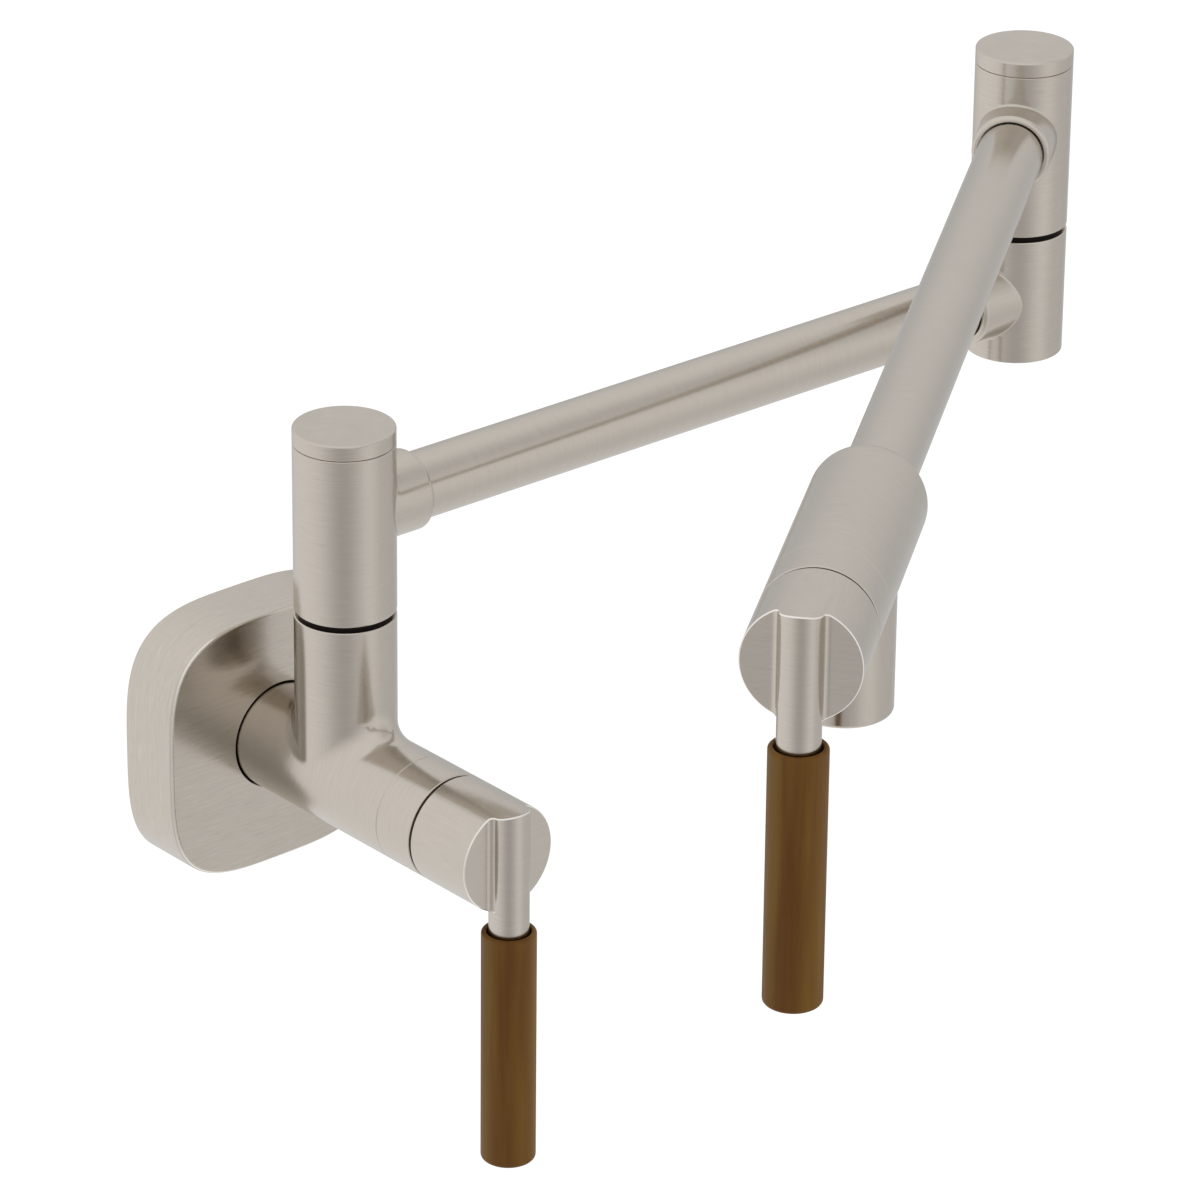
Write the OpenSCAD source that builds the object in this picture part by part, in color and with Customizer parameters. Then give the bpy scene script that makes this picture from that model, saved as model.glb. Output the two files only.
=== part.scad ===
// Wall-mounted pot filler with two folding arms, two quarter-turn valves and wooden grips.
// The origin is the centre of the flange's back face, on the wall.
// +Z is up, +X runs to the right along the wall and +Y points into it.

/* [Wall flange] */
// Width and height of the flange
flange_size = 81.4; // [77:0.2:90]
// Depth of the flange, from the wall to its front face
flange_depth = 21.4; // [20:0.2:24]
// Squareness of the flange's outline: 2 is a circle
flange_squareness = 3.5; // [2.6:0.1:6]
// Thickness of the flange's shell
flange_wall = 2.5; // [1.6:0.1:3.2]
// Rounding of the flange's front edge
flange_edge = 1.2; // [0.6:0.1:1.5]

/* [Wall valve body] */
// Outside diameter of the valve bodies, bonnets and knobs
valve_d = 32.6; // [32:0.1:35]
// Distance from the wall to the shoulder axis
shoulder_reach = 52.4; // [51:0.2:60]
// Gap between the wall and the body's rear end
body_rear_gap = 8; // [6:0.5:9]
// Distance from the shoulder axis to the wall bonnet's seam
wall_seam_reach = 33.6; // [32:0.2:38]
// Height of the body's barrel above the valve axis
barrel_rise = 51.1; // [46:0.1:60]
// Radius of the blend between the barrel and the body
body_fillet = 8; // [4:0.5:10]
// Bore of the supply thread
inlet_d = 18.3; // [16:0.1:19]
// Depth of the supply thread
inlet_depth = 16; // [10:0.5:17]

/* [Swing joints] */
// Outside diameter of the joint barrels
barrel_d = 30; // [29:0.1:32]
// Gap between the two barrels of a joint
joint_gap = 1.7; // [1.2:0.1:2.4]
// Height from a joint's gap to the arm above it
joint_to_arm = 30.8; // [29:0.2:34]
// Height from an arm to the seam of its cap
arm_to_cap = 21.2; // [20:0.2:24]
// Height of a cap
cap_h = 4.85; // [4:0.05:7]
// Depth of the elbow base under the first arm
elbow_base_drop = 19.2; // [17:0.2:24]
// Height of the elbow base over the first arm
elbow_base_rise = 20.9; // [19.6:0.1:24]
// Diameter of a spindle
spindle_d = 19; // [18.4:0.1:19.4]
// Bore of a spindle
spindle_bore = 10; // [8:0.2:11]

/* [Arms] */
// Length of the first arm, from the shoulder axis to the elbow axis
arm_1_len = 264.2; // [220:0.2:275]
// Length of the second arm, from the elbow axis to the spout axis
arm_2_len = 318.8; // [310:0.2:360]
// Heading of the first arm, in degrees from +X
arm_1_heading = -0.77; // [-60:0.01:0]
// Heading of the second arm, in degrees from +X
arm_2_heading = -142.48; // [-165:0.01:-120]
// Outside diameter of the arm tubes
tube_d = 20.1; // [19:0.1:20.8]
// Wall of the arm tubes
tube_wall = 1.2; // [0.8:0.1:2]
// Outside diameter of the collars that hold the tubes
collar_d = 24.3; // [23.6:0.1:26]
// Length of a collar, from the joint's axis
collar_len = 24; // [22:0.2:30]
// Rounding of a collar's end
collar_round = 1.6; // [0.8:0.1:1.6]

/* [Outlet valve body] */
// Distance from the spout axis back to the body's rear end
outlet_rear_reach = 39.3; // [34:0.1:50]
// Rounding of the body's rear end
outlet_rear_round = 7; // [4:0.1:9]
// Distance from the spout axis to the outlet bonnet's seam
outlet_seam_reach = 30.7; // [30:0.1:34]
// Diameter of the spout
spout_d = 27.3; // [26.4:0.1:29]
// Depth of the spout's mouth under the valve axis
spout_drop = 45.7; // [38:0.1:52]

/* [Levers] */
// Length of a bonnet
bonnet_len = 14.6; // [13:0.1:20]
// Gap between a bonnet and its knob
knob_gap = 0.9; // [0.5:0.1:1.5]
// Length of a knob, from its back to its flat face
knob_len = 23.9; // [22:0.1:30]
// Diameter of the lever rod
rod_d = 11.84; // [11:0.02:12.4]
// Distance of the rod's axis in front of the knob's face
rod_proud = 0.6; // [0:0.1:1.5]
// Radius of the hollow blend beside the rod
rod_fillet = 1.9; // [1:0.1:2.6]
// Length of a wooden grip
grip_len = 74.3; // [55:0.1:110]
// Diameter of a wooden grip
grip_d = 16.1; // [15.6:0.1:19]
// Distance from the valve axis down to the grip's top
grip_drop = 22.8; // [20:0.1:30]
// Rounding of the grip's ends
grip_round = 1.2; // [0.5:0.1:1.4]

/* [Hidden] */
$fn = 64;

// Clearances and shared small sizes
running_fit = 0.05;
seat_fit = 0.03;
axial_play = 0.06;
overrun = 1;
seam = 0.25;
thin_slice = 0.02;
sink = 0.15;
blend_sink = 0.05;
web_root = 1.5;

// Finishes
nickel = "#cfc8be";
brass = "#b08d57";
steel = "#8f9194";
rubber = "#1d1c1c";
ceramic = "#e9e6dd";
acetal = "#26221f";
wood = "#6a4526";

// Radii
valve_r = valve_d/2;
barrel_r = barrel_d/2;
tube_r = tube_d/2;
collar_r = collar_d/2;
spindle_r = spindle_d/2;
spout_r = spout_d/2;
rod_r = rod_d/2;

// Flange sleeve, O-ring and set screw
flange_gap = 0.4;
sleeve_wall = 4.6;
sleeve_len = 12;
flange_ring_room = 1.6;
flange_ring_width = 2.2;
flange_ring_setback = 2.4;
gasket_width = 5;
gasket_t = 2.5;
flange_screw_d = 4;
flange_screw_len = 5;
flange_screw_setback = 7.5;
flange_key_hole_d = 5;
hex_depth = 2.2;
hex_share = 0.58;
sleeve_r = valve_r + flange_gap + sleeve_wall;
flange_screw_y = -flange_depth + flange_screw_setback;

// Valve cartridge, measured from the bonnet's seam, with outward positive
spigot_len = 5.5;
spigot_wall = 2.85;
cartridge_flange_t = 3;
cartridge_d = 20.4;
cartridge_fit = 0.2;
cartridge_waist_d = 18.4;
cartridge_len = 32.9;
cartridge_nose_d = 16.8;
cartridge_nose_len = 8.5;
nose_fit = 0.2;
chamber_d = 17.4;
chamber_len = 15.4;
seal_t = 2.2;
seal_wall = 3.2;
disc_t = 3;
disc_fit = 0.2;
disc_hole_d = 4.8;
disc_hole_offset = 4.6;
foot_t = 3;
foot_w = 6;
foot_fit = 0.5;
peg_d = 2;
peg_offset = 5.2;
peg_len = 1.5;
window_w = 9;
window_len = 6;
stem_d = 8;
stem_flat = 0.6;
stem_in_knob = 12;
stem_groove = 1;
stem_ring_setback = 3;
seat_bore = 13;
knob_screw_d = 5;
knob_screw_len = 6;
knob_screw_setback = 6;
spigot_r = valve_r - spigot_wall;
flange_floor = -spigot_len - cartridge_flange_t;
cartridge_end = flange_floor - cartridge_len;
seat = cartridge_end - seal_t;
cartridge_r = cartridge_d/2;
chamber_r = chamber_d/2;
chamber_top = cartridge_end + chamber_len;
fixed_disc_at = cartridge_end;
moving_disc_at = fixed_disc_at + disc_t + axial_play;
foot_at = moving_disc_at + disc_t;
window_at = foot_at + foot_t/2;
knob_back = bonnet_len + knob_gap;
knob_face = knob_back + knob_len;
rod_at = knob_face + rod_proud;
stem_end = knob_back + stem_in_knob;

// Joint, measured from the top of its lower barrel
spindle_foot = 12;
waterway_d = 16;
port_d = 15;
waist_wall = 2.2;
ring_groove = 1.4;
ring_groove_w = 1.8;
lower_ring_at = 12;
nut_room = 7.4;
nut_t = 3.6;
nut_af = 19;
thread_d = 14;
thread_extra = 0.4;
cap_spigot_len = 3;
cap_socket_wall = 3;
cap_ring_w = 1.5;
cap_edge = 0.6;
washer_lip = 1.3;
socket_len = 10.5;
mouth_depth = 0.8;
mouth_gap = 0.35;
outlet_socket_len = 12;
elbow_floor = 9;
arm_at = joint_gap + joint_to_arm;
nut_floor = arm_at + arm_to_cap - nut_room;
cap_seam = arm_at + arm_to_cap;
cap_socket_r = barrel_r - cap_socket_wall;
port_r = port_d/2;
waterway_r = waterway_d/2;
socket_floor = collar_len - socket_len;

// Aerator
aerator_recess = 0.8;
aerator_h = 10;
aerator_wall = 2.1;
aerator_washer_t = 2;
aerator_washer_wall = 3.4;
spout_wall = 1.9;
spout_edge = 1.2;
grid_t = 6;
grid_hole_d = 2.1;
grid_pitch = 2.9;
grid_rings = 3;
grid_rim = 0.6;
aerator_r = spout_r - spout_wall;
grid_r = aerator_r - aerator_wall;

// Grip and its stud
grip_mouth_depth = 8;
grip_mouth_gap = 0.6;
stud_d = 6;
stud_in_rod = 10;
stud_end_gap = 12;
rod_end = grip_drop + grip_mouth_depth;

// Heights
arm_1_z = barrel_rise + arm_at;
elbow_joint_z = arm_1_z + elbow_base_rise;
arm_2_z = elbow_joint_z + arm_at;
elbow_at = arm_1_len*[cos(arm_1_heading), sin(arm_1_heading), 0];

// Points of an arc about c, from angle a0 to a1 in n steps
function arc(c, r, a0, a1, n = 6) =
    [for (i = [0:n]) c + r*[cos(a0 + (a1 - a0)*i/n), sin(a0 + (a1 - a0)*i/n)]];

// A square with bowed sides and round corners
function squircle(half, power, n = 96) =
    [for (i = [0:n-1]) let (a = 360*i/n,
        r = half/pow(pow(abs(cos(a)), power) + pow(abs(sin(a)), power), 1/power))
        r*[cos(a), sin(a)]];

// Frames of the sub-assemblies

// The shoulder axis, at the height of the wall valve
module at_shoulder() translate([0, -shoulder_reach, 0]) children();

// The elbow axis
module at_elbow() at_shoulder() translate(elbow_at) children();

// Lays local Z along a heading, with local X pointing down
module facing(heading) rotate([0, 0, heading]) rotate([0, 90, 0]) children();

// The seam of the wall valve's bonnet
module at_wall_seam() at_shoulder() facing(-90) translate([0, 0, wall_seam_reach]) children();

// The spout axis, at the height of the second arm, with local X along the arm
module at_spout() at_elbow() translate([0, 0, arm_2_z]) rotate([0, 0, arm_2_heading])
    translate([arm_2_len, 0, 0]) children();

// The seam of the outlet valve's bonnet
module at_outlet_seam() at_spout() facing(0) translate([0, 0, outlet_seam_reach]) children();

// General shapes

// A tube from z0 to z1
module ring(r, bore, z0, z1) difference() {
    translate([0, 0, z0]) cylinder(r = r, h = z1 - z0);
    translate([0, 0, z0 - overrun]) cylinder(r = bore, h = z1 - z0 + 2*overrun);
}

// A rod from z0 to z1
module rod(r, z0, z1) translate([0, 0, z0]) cylinder(r = r, h = z1 - z0);

// A round-section ring about Z
module o_ring(inner_r, outer_r) let (section = (outer_r - inner_r)/2)
    rotate_extrude() translate([inner_r + section, 0]) circle(r = section, $fn = 32);

// A headless screw along +Z with its hexagon at the far end
module set_screw(d, len) difference() {
    cylinder(r = d/2, h = len);
    translate([0, 0, len - hex_depth]) cylinder(r = d*hex_share/2, h = hex_depth + overrun, $fn = 6);
}

// The corner between a body of radius rm along X and a branch of radius rb along Z,
// filled as a ball of radius rf would leave it
module corner_blend(rm, rb, rf, turns = 48, steps = 6) {
    sections = [for (i = [0:turns-1])
        let (t = 360*i/turns,
            c_y = (rb + rf)*sin(t),
            c_z = sqrt(pow(rm + rf, 2) - pow(c_y, 2)),
            c = [(rb + rf)*cos(t), c_y, c_z],
            u1 = [-cos(t), -sin(t), 0],
            u2 = [0, -c_y, -c_z]/(rm + rf),
            w = acos(u1*u2),
            inner = rb - web_root,
            root_z = sqrt(pow(rm, 2) - pow(rb*sin(t), 2)) - web_root)
        concat(
            [for (k = [0:steps])
                let (s = k/steps, reach = rf + (k == 0 || k == steps ? sink : 0))
                c + reach*(sin((1 - s)*w)*u1 + sin(s*w)*u2)/sin(w)],
            [[inner*cos(t), inner*sin(t), root_z]])];
    m = steps + 2;
    points = [for (s = sections) for (p = s) p];
    faces = [for (i = [0:turns-1]) for (j = [0:m-1])
        let (a = i*m + j, b = i*m + (j + 1)%m,
            c = ((i + 1)%turns)*m + (j + 1)%m, d = ((i + 1)%turns)*m + j)
        each [[a, d, c], [a, c, b]]];
    polyhedron(points, faces);
}

// Pieces of the wall flange

module flange_shell() difference() {
    union() {
        hull() {
            linear_extrude(flange_depth - flange_edge)
                polygon(squircle(flange_size/2, flange_squareness));
            for (a = [30:30:90])
                translate([0, 0, flange_depth - flange_edge + flange_edge*sin(a) - thin_slice])
                    linear_extrude(thin_slice)
                        polygon(squircle(flange_size/2 - flange_edge*(1 - cos(a)), flange_squareness));
        }
    }
    translate([0, 0, -overrun]) linear_extrude(flange_depth - flange_wall + overrun) difference() {
        polygon(squircle(flange_size/2 - flange_wall, flange_squareness));
        circle(r = sleeve_r);
    }
    rod(sleeve_r + overrun, -overrun, flange_depth - sleeve_len);
    rod(valve_r + flange_gap, -overrun, flange_depth + overrun);
    rod(valve_r + flange_ring_room, flange_depth - flange_ring_setback - flange_ring_width,
        flange_depth - flange_ring_setback);
}

module wall_flange() color(nickel) difference() {
    rotate([90, 0, 0]) flange_shell();
    translate([0, flange_screw_y, 0]) rotate([180, 0, 0]) rod(flange_screw_d/2 + seat_fit, 0, sleeve_r + overrun);
    translate([0, flange_screw_y, 0]) rotate([180, 0, 0]) rod(flange_key_hole_d/2, sleeve_r, flange_size);
}

module wall_gasket() let (half = flange_size/2 - flange_wall - axial_play) color(rubber)
    rotate([90, 0, 0]) linear_extrude(gasket_t) difference() {
        polygon(squircle(half, flange_squareness));
        polygon(squircle(half - gasket_width, flange_squareness));
    }

module flange_o_ring() color(rubber)
    translate([0, -flange_depth + flange_ring_setback + flange_ring_width/2, 0]) rotate([90, 0, 0])
        o_ring(valve_r + seat_fit, valve_r + flange_ring_room - seat_fit);

module flange_set_screw() color(steel)
    translate([0, flange_screw_y, -valve_r - seat_fit]) rotate([180, 0, 0])
        set_screw(flange_screw_d, flange_screw_len);

// Pieces of a valve, from the bonnet's seam

// The bores in a valve body that take the cartridge
module cartridge_bores() {
    rod(spigot_r + seat_fit, flange_floor, overrun);
    rod(cartridge_r + cartridge_fit, seat, 0);
}

module bonnet() color(nickel) difference() {
    union() {
        rod(valve_r, 0, bonnet_len);
        rod(spigot_r, -spigot_len, overrun);
    }
    rod(cartridge_nose_d/2 + nose_fit, -spigot_len - overrun, cartridge_nose_len + nose_fit);
    rod(stem_d/2 + nose_fit, 0, bonnet_len + overrun);
}

module cartridge() color(brass) difference() {
    union() {
        rod(cartridge_r, cartridge_end, flange_floor + overrun);
        rod(spigot_r, flange_floor, -spigot_len);
        rod(cartridge_nose_d/2, -spigot_len - overrun, cartridge_nose_len);
    }
    rod(chamber_r, cartridge_end - overrun, chamber_top);
    rod(stem_d/2 + running_fit, cartridge_end, cartridge_nose_len + overrun);
    ring(cartridge_r + overrun, cartridge_waist_d/2, window_at - window_len, window_at + window_len);
    for (a = [0, 90]) rotate([0, 0, a])
        translate([-cartridge_r - overrun, -window_w/2, window_at - window_len/2])
            cube([cartridge_d + 2*overrun, window_w, window_len]);
}

// A ceramic disc with two ports on the line at the given angle
module disc(at, angle) color(ceramic) difference() {
    rod(chamber_r - disc_fit, at, at + disc_t);
    for (side = [-1, 1]) rotate([0, 0, angle]) translate([side*disc_hole_offset, 0, 0])
        rod(disc_hole_d/2, at - overrun, at + disc_t + overrun);
}

module fixed_disc() disc(fixed_disc_at, 0);

module moving_disc() difference() {
    disc(moving_disc_at, 90);
    for (side = [-1, 1]) rotate([0, 0, 45]) translate([side*peg_offset, 0, 0])
        rod(peg_d/2 + running_fit, foot_at - peg_len - seat_fit, foot_at + overrun);
}

module seat_seal() color(rubber)
    ring(cartridge_r, cartridge_r - seal_wall, seat, cartridge_end);

module stem() color(brass) difference() {
    union() {
        intersection() {
            rod(chamber_r - foot_fit, foot_at, foot_at + foot_t);
            rotate([0, 0, 45]) translate([-chamber_r, -foot_w/2, foot_at]) cube([chamber_d, foot_w, foot_t]);
        }
        rod(stem_d/2, foot_at, stem_end);
        for (side = [-1, 1]) rotate([0, 0, 45]) translate([side*peg_offset, 0, 0])
            rod(peg_d/2, foot_at - peg_len, foot_at + overrun);
    }
    ring(stem_d/2 + overrun, stem_d/2 - stem_groove, -stem_ring_setback - stem_groove,
        -stem_ring_setback + stem_groove);
    translate([stem_d/2 - stem_flat, -stem_d/2, knob_back]) cube([stem_d, stem_d, knob_len]);
}

module stem_seal() color(rubber) translate([0, 0, -stem_ring_setback])
    o_ring(stem_d/2 - stem_groove + seat_fit, stem_d/2 + running_fit/2);

// The hollow blend on one side of the rod, as a prism along local X
module rod_blend() {
    foot_y = sqrt(pow(rod_r + rod_fillet, 2) - pow(rod_fillet - rod_proud, 2));
    centre = [foot_y, knob_face + rod_fillet];
    turn = asin((rod_fillet - rod_proud)/(rod_r + rod_fillet));
    rotate([90, 0, 90]) linear_extrude(valve_d, center = true) polygon(concat(
        [[rod_r/2, knob_face - web_root], centre - [0, rod_fillet + blend_sink]],
        arc(centre, rod_fillet, -100, -180 + turn + 10, 6),
        [centre - (rod_fillet + blend_sink)*[cos(turn), sin(turn)]]));
}

// The plane-faced knob with the blends that run up to the rod
module knob() intersection() {
    rod(valve_r, knob_back, rod_at + rod_r);
    union() {
        translate([-valve_d/2 - overrun, -valve_d/2 - overrun, knob_back - overrun])
            cube([valve_d + 2*overrun, valve_d + 2*overrun, knob_len + overrun]);
        for (side = [0, 1]) mirror([0, side, 0]) rod_blend();
    }
}

// The rod, trimmed to the knob's edge at its top
module lever_rod() difference() {
    translate([0, 0, rod_at]) rotate([0, 90, 0]) rod(rod_r, -valve_d, rod_end);
    difference() {
        translate([-2*valve_d, -valve_d, 0]) cube([2*valve_d, 2*valve_d, 2*knob_face]);
        rod(valve_r, -overrun, 3*knob_face);
    }
}

module lever() color(nickel) difference() {
    union() {
        knob();
        lever_rod();
    }
    difference() {
        rod(stem_d/2 + seat_fit, knob_back - overrun, stem_end + seat_fit);
        translate([stem_d/2 - stem_flat + seat_fit, -stem_d/2, knob_back - 2*overrun])
            cube([stem_d, stem_d, knob_len]);
    }
    translate([0, 0, knob_back + knob_screw_setback]) rotate([0, 90, 0])
        rod(knob_screw_d/2 + seat_fit, 0, valve_r + overrun);
    translate([0, 0, rod_at]) rotate([0, 90, 0])
        rod(stud_d/2 + seat_fit, rod_end - stud_in_rod, rod_end + overrun);
}

module knob_screw() color(steel)
    translate([stem_d/2 - stem_flat + seat_fit, 0, knob_back + knob_screw_setback]) rotate([0, 90, 0])
        set_screw(knob_screw_d, knob_screw_len);

module grip() let (end = grip_drop + grip_len, r = grip_d/2, mouth = rod_r + grip_mouth_gap) color(wood)
    translate([0, 0, rod_at]) rotate([0, 90, 0]) difference() {
        rotate_extrude() polygon(concat(
            [[0, grip_drop]],
            arc([r - grip_round, grip_drop + grip_round], grip_round, -90, 0),
            arc([r - grip_round, end - grip_round], grip_round, 0, 90),
            [[0, end]]));
        rod(mouth, grip_drop - overrun, rod_end);
        rod(stud_d/2 + seat_fit, grip_drop, end - stud_end_gap + seat_fit);
    }

module grip_stud() color(steel) translate([0, 0, rod_at]) rotate([0, 90, 0])
    rod(stud_d/2, rod_end - stud_in_rod, grip_drop + grip_len - stud_end_gap);

// Pieces of a swing joint, from the top of its lower barrel

module spindle() color(brass) difference() {
    union() {
        rod(spindle_r, -spindle_foot, nut_floor + axial_play);
        rod(thread_d/2, 0, nut_floor + axial_play + nut_t + thread_extra);
    }
    rod(spindle_bore/2, -spindle_foot - overrun, arm_at + port_r);
    ring(spindle_r + overrun, spindle_bore/2 + waist_wall, arm_at - port_r, arm_at + port_r);
    for (z = [lower_ring_at, (arm_at + port_r + nut_floor)/2])
        ring(spindle_r + overrun, spindle_r - ring_groove, z - ring_groove_w/2, z + ring_groove_w/2);
    for (a = [0, 90]) translate([0, 0, arm_at]) rotate([0, 90, a])
        rod(spindle_bore/3, -spindle_d, spindle_d);
}

module spindle_rings() color(rubber) for (z = [lower_ring_at, (arm_at + port_r + nut_floor)/2])
    translate([0, 0, z]) o_ring(spindle_r - ring_groove + seat_fit, spindle_r + running_fit/2);

module gap_washer() color(acetal)
    ring(barrel_r - washer_lip, spindle_r + seat_fit, 0, joint_gap - axial_play);

module spindle_nut() color(brass) difference() {
    translate([0, 0, nut_floor + axial_play]) cylinder(r = nut_af/2/cos(30), h = nut_t, $fn = 6);
    rod(thread_d/2 + seat_fit, nut_floor, nut_floor + nut_room);
}

// The collar that holds one end of an arm tube, with its bores left for the barrel to cut
module collar() rotate_extrude() polygon(concat(
    [[0, 0], [collar_r, 0]],
    arc([collar_r - collar_round, collar_len - collar_round], collar_round, 0, 90),
    [[0, collar_len]]));

// The tube's socket and the waterway behind it
module tube_socket() {
    rod(port_r, 0, collar_len);
    rod(tube_r + seat_fit, socket_floor, collar_len + overrun);
    rod(tube_r + mouth_gap, collar_len - mouth_depth, collar_len + overrun);
}

// The turning barrel over a joint, with its collar along the heading
module joint_barrel(heading) color(nickel) difference() {
    union() {
        rod(barrel_r, joint_gap, cap_seam);
        translate([0, 0, arm_at]) facing(heading) collar();
    }
    rod(spindle_r + running_fit, 0, cap_seam);
    rod(cap_socket_r, nut_floor, cap_seam + overrun);
    translate([0, 0, arm_at]) facing(heading) tube_socket();
}

module joint_cap() color(nickel) difference() {
    union() {
        translate([0, 0, cap_seam]) rotate_extrude() polygon(concat(
            [[0, 0], [barrel_r - seam, 0], [barrel_r - seam, seam], [barrel_r, seam]],
            arc([barrel_r - cap_edge, cap_h - cap_edge], cap_edge, 0, 90),
            [[0, cap_h]]));
        rod(cap_socket_r - seat_fit, cap_seam - cap_spigot_len, cap_seam + seam);
    }
    ring(cap_socket_r + overrun, cap_socket_r - ring_groove, cap_seam - cap_spigot_len/2 - cap_ring_w/2,
        cap_seam - cap_spigot_len/2 + cap_ring_w/2);
}

module cap_seal() color(rubber) translate([0, 0, cap_seam - cap_spigot_len/2])
    o_ring(cap_socket_r - ring_groove + seat_fit, cap_socket_r - seat_fit);

// A tube seated in a socket at each end
module arm_tube(from, to) color(nickel) ring(tube_r, tube_r - tube_wall, from, to);

// Bodies

module body_tee() color(nickel) at_shoulder() difference() {
    union() {
        facing(90) rod(valve_r, -wall_seam_reach, shoulder_reach - body_rear_gap);
        rod(barrel_r, 0, barrel_rise);
        rotate([0, 0, 90]) corner_blend(valve_r, barrel_r, body_fillet);
    }
    facing(-90) translate([0, 0, wall_seam_reach]) cartridge_bores();
    facing(90) rod(seat_bore/2, -wall_seam_reach - seat - overrun, shoulder_reach);
    facing(90) rod(inlet_d/2, shoulder_reach - body_rear_gap - inlet_depth, shoulder_reach);
    rod(waterway_r, 0, barrel_rise);
    rod(spindle_r + seat_fit, barrel_rise - spindle_foot, barrel_rise + overrun);
}

module elbow_base() color(nickel) at_elbow() translate([0, 0, arm_1_z]) difference() {
    union() {
        rod(barrel_r, -elbow_base_drop, elbow_base_rise);
        facing(arm_1_heading + 180) collar();
    }
    rod(waterway_r, elbow_floor - elbow_base_drop, elbow_base_rise);
    rod(spindle_r + seat_fit, elbow_base_rise - spindle_foot, elbow_base_rise + overrun);
    facing(arm_1_heading + 180) tube_socket();
}

module outlet_body() color(nickel) at_spout() difference() {
    union() {
        facing(0) rotate_extrude() polygon(concat(
            [[0, -outlet_rear_reach]],
            arc([valve_r - outlet_rear_round, -outlet_rear_reach + outlet_rear_round],
                outlet_rear_round, -90, 0, 10),
            [[valve_r, outlet_seam_reach], [0, outlet_seam_reach]]));
        rotate([180, 0, 0]) rotate_extrude() polygon(concat(
            [[0, 0], [spout_r, 0]],
            arc([spout_r - spout_edge, spout_drop - spout_edge], spout_edge, 0, 90),
            [[0, spout_drop]]));
    }
    facing(0) translate([0, 0, outlet_seam_reach]) cartridge_bores();
    facing(0) rod(seat_bore/2, -outlet_rear_reach, outlet_seam_reach + seat + overrun);
    facing(0) rod(tube_r + seat_fit, -outlet_rear_reach - overrun, -outlet_rear_reach + outlet_socket_len);
    facing(0) rod(tube_r + mouth_gap, -outlet_rear_reach - overrun, -outlet_rear_reach + mouth_depth);
    rotate([180, 0, 0]) rod(waterway_r, 0, spout_drop);
    rotate([180, 0, 0]) rod(aerator_r + seat_fit,
        spout_drop - aerator_recess - aerator_h - aerator_washer_t, spout_drop + overrun);
}

// Aerator, from the spout axis

module aerator_ring() color(nickel) at_spout() rotate([180, 0, 0]) difference() {
    rod(aerator_r, spout_drop - aerator_recess - aerator_h, spout_drop - aerator_recess);
    rod(grid_r + seat_fit, spout_drop - aerator_recess - aerator_h - overrun,
        spout_drop - aerator_recess - grid_rim);
    rod(grid_r - grid_rim, spout_drop - aerator_recess - aerator_h, spout_drop);
}

module aerator_grid() color(acetal) at_spout() rotate([180, 0, 0])
    translate([0, 0, spout_drop - aerator_recess - grid_rim - grid_t]) difference() {
        cylinder(r = grid_r, h = grid_t);
        for (i = [-grid_rings:grid_rings]) for (j = [-grid_rings:grid_rings])
            let (x = grid_pitch*(i + j/2), y = grid_pitch*j*cos(30))
                if (norm([x, y]) + grid_hole_d/2 < grid_r - grid_rim)
                    translate([x, y, 0]) rod(grid_hole_d/2, -overrun, grid_t + overrun, $fn = 24);
    }

module aerator_washer() color(rubber) at_spout() rotate([180, 0, 0])
    ring(aerator_r, aerator_r - aerator_washer_wall,
        spout_drop - aerator_recess - aerator_h - aerator_washer_t, spout_drop - aerator_recess - aerator_h);

module arm_1_tube() at_shoulder() translate([0, 0, arm_1_z]) facing(arm_1_heading)
    arm_tube(socket_floor, arm_1_len - socket_floor);

module arm_2_tube() at_elbow() translate([0, 0, arm_2_z]) facing(arm_2_heading)
    arm_tube(socket_floor, arm_2_len - outlet_rear_reach + outlet_socket_len);

// The lower and upper joint
module at_shoulder_joint() at_shoulder() translate([0, 0, barrel_rise]) children();
module at_elbow_joint() at_elbow() translate([0, 0, elbow_joint_z]) children();

wall_flange();
wall_gasket();
flange_o_ring();
flange_set_screw();
body_tee();
at_wall_seam() bonnet();  // wall_bonnet
at_wall_seam() cartridge();  // wall_cartridge
at_wall_seam() fixed_disc();  // wall_fixed_disc
at_wall_seam() seat_seal();  // wall_seat_seal
at_shoulder_joint() spindle();  // shoulder_spindle
at_shoulder_joint() spindle_rings();  // shoulder_o_rings
at_shoulder_joint() gap_washer();  // shoulder_washer
at_shoulder_joint() spindle_nut();  // shoulder_nut
at_shoulder_joint() joint_barrel(arm_1_heading);  // shoulder_barrel
at_shoulder_joint() joint_cap();  // shoulder_cap
at_shoulder_joint() cap_seal();  // shoulder_cap_seal
arm_1_tube();
elbow_base();
at_elbow_joint() spindle();  // elbow_spindle
at_elbow_joint() spindle_rings();  // elbow_o_rings
at_elbow_joint() gap_washer();  // elbow_washer
at_elbow_joint() spindle_nut();  // elbow_nut
at_elbow_joint() joint_barrel(arm_2_heading);  // elbow_barrel
at_elbow_joint() joint_cap();  // elbow_cap
at_elbow_joint() cap_seal();  // elbow_cap_seal
arm_2_tube();
outlet_body();
at_outlet_seam() bonnet();  // outlet_bonnet
at_outlet_seam() cartridge();  // outlet_cartridge
at_outlet_seam() fixed_disc();  // outlet_fixed_disc
at_outlet_seam() seat_seal();  // outlet_seat_seal
aerator_ring();
aerator_grid();
aerator_washer();
at_wall_seam() lever();  // wall_lever
at_wall_seam() grip();  // wall_grip
at_wall_seam() grip_stud();  // wall_grip_stud
at_wall_seam() knob_screw();  // wall_knob_screw
at_wall_seam() stem();  // wall_stem
at_wall_seam() stem_seal();  // wall_stem_seal
at_wall_seam() moving_disc();  // wall_moving_disc
at_outlet_seam() lever();  // outlet_lever
at_outlet_seam() grip();  // outlet_grip
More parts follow.
